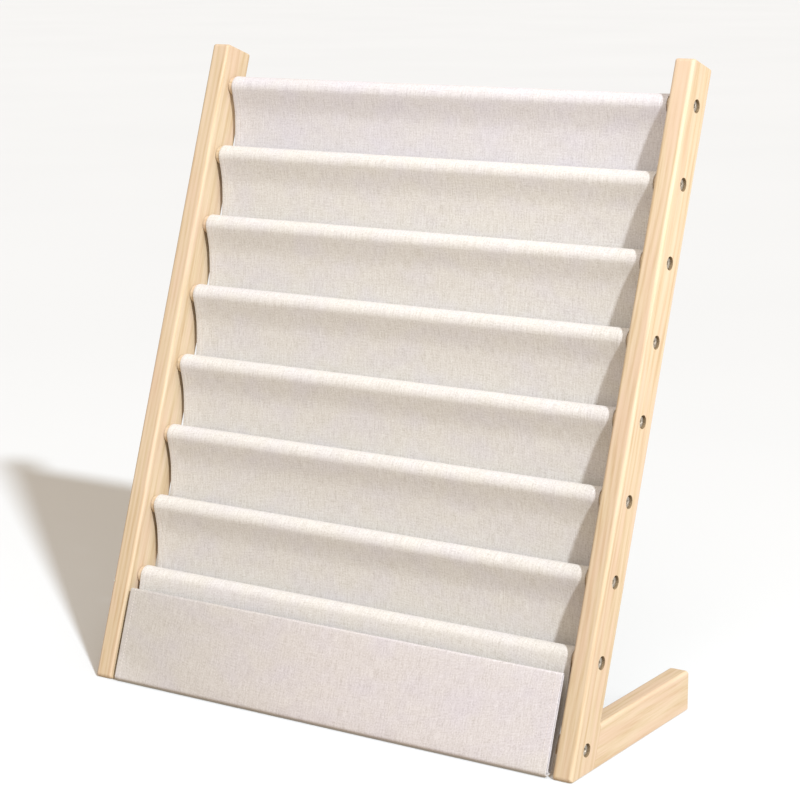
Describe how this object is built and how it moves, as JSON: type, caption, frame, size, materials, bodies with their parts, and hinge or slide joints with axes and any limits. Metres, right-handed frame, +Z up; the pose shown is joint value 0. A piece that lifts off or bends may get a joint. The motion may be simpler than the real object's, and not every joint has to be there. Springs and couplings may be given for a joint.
{
  "type": "sling bookshelf",
  "caption": "Leaning wooden rack for children's picture books, with canvas sling pockets hung over round rods between two side frames.",
  "frame": {"origin": "middle of the footprint on the floor, the centre of the bounding box's bottom", "axes": "+X to the viewer's right along the rods, +Y to the back, +Z up"},
  "size_m": [0.6, 0.2762, 0.6835],
  "materials": {
    "pine": "satin clear lacquer",
    "rod_wood": "plain sanded",
    "canvas": "oatmeal linen and cotton canvas",
    "bolt_steel": "zinc plated",
    "insert_steel": "zinc plated",
    "hardboard": "plain pressed board"
  },
  "bodies": {
    "root": {"left_post": "pine", "left_foot": "pine", "left_bolt_1": "bolt_steel", "left_bolt_2": "bolt_steel", "left_bolt_3": "bolt_steel", "left_bolt_4": "bolt_steel", "left_bolt_5": "bolt_steel", "left_bolt_6": "bolt_steel", "left_bolt_7": "bolt_steel", "left_bolt_8": "bolt_steel", "left_bolt_9": "bolt_steel", "left_insert_1": "insert_steel", "left_insert_2": "insert_steel", "left_insert_3": "insert_steel", "left_insert_4": "insert_steel", "left_insert_5": "insert_steel", "left_insert_6": "insert_steel", "left_insert_7": "insert_steel", "left_insert_8": "insert_steel", "left_insert_9": "insert_steel", "right_post": "pine", "right_foot": "pine", "right_bolt_1": "bolt_steel", "right_bolt_2": "bolt_steel", "right_bolt_3": "bolt_steel", "right_bolt_4": "bolt_steel", "right_bolt_5": "bolt_steel", "right_bolt_6": "bolt_steel", "right_bolt_7": "bolt_steel", "right_bolt_8": "bolt_steel", "right_bolt_9": "bolt_steel", "right_insert_1": "insert_steel", "right_insert_2": "insert_steel", "right_insert_3": "insert_steel", "right_insert_4": "insert_steel", "right_insert_5": "insert_steel", "right_insert_6": "insert_steel", "right_insert_7": "insert_steel", "right_insert_8": "insert_steel", "right_insert_9": "insert_steel", "rod_1": "rod_wood", "rod_2": "rod_wood", "rod_3": "rod_wood", "rod_4": "rod_wood", "rod_5": "rod_wood", "rod_6": "rod_wood", "rod_7": "rod_wood", "rod_8": "rod_wood", "bottom_rod": "rod_wood", "sling_1": "canvas", "sling_2": "canvas", "sling_3": "canvas", "sling_4": "canvas", "sling_5": "canvas", "sling_6": "canvas", "sling_7": "canvas", "front_pocket": "canvas", "front_stiffener": "hardboard"}
  },
  "joints": []
}
